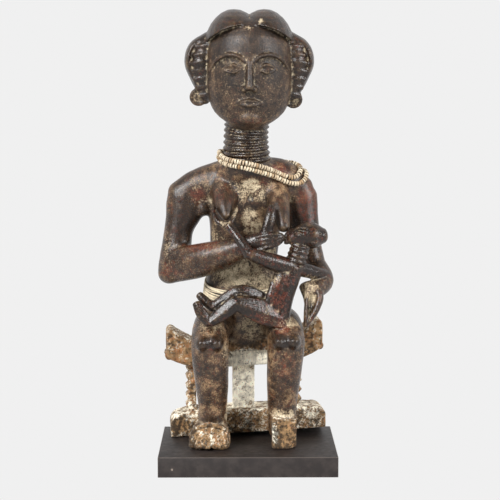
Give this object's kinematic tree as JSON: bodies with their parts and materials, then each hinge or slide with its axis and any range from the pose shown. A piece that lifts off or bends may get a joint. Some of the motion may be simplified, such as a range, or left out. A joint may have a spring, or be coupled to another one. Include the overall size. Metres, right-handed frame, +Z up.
{
  "type": "african maternity figure",
  "caption": "Carved wooden figure of a seated mother nursing a child, with bead strands and hip strings, on a dark plinth.",
  "frame": {"origin": "middle of the plinth's underside, on the surface that the figure stands on", "axes": "+Z up, +X to the viewer's right as the figure is faced, +Y away from the viewer, so the figure faces -Y"},
  "size_m": [0.2184, 0.172, 0.5566],
  "materials": {
    "carved_wood": "hand-carved hardwood with a dark handled patina, pale clay and crust in the hollows",
    "black_plinth": "matt black painted board",
    "cream_beads": "worn cream shell discs, dirty between the discs",
    "pale_string": "thin plant-fibre strings, undyed"
  },
  "bodies": {
    "root": {"plinth": "black_plinth", "figure": "carved_wood", "bead_strand_upper": "cream_beads", "bead_strand_lower": "cream_beads", "hip_strings": "pale_string"}
  },
  "joints": []
}
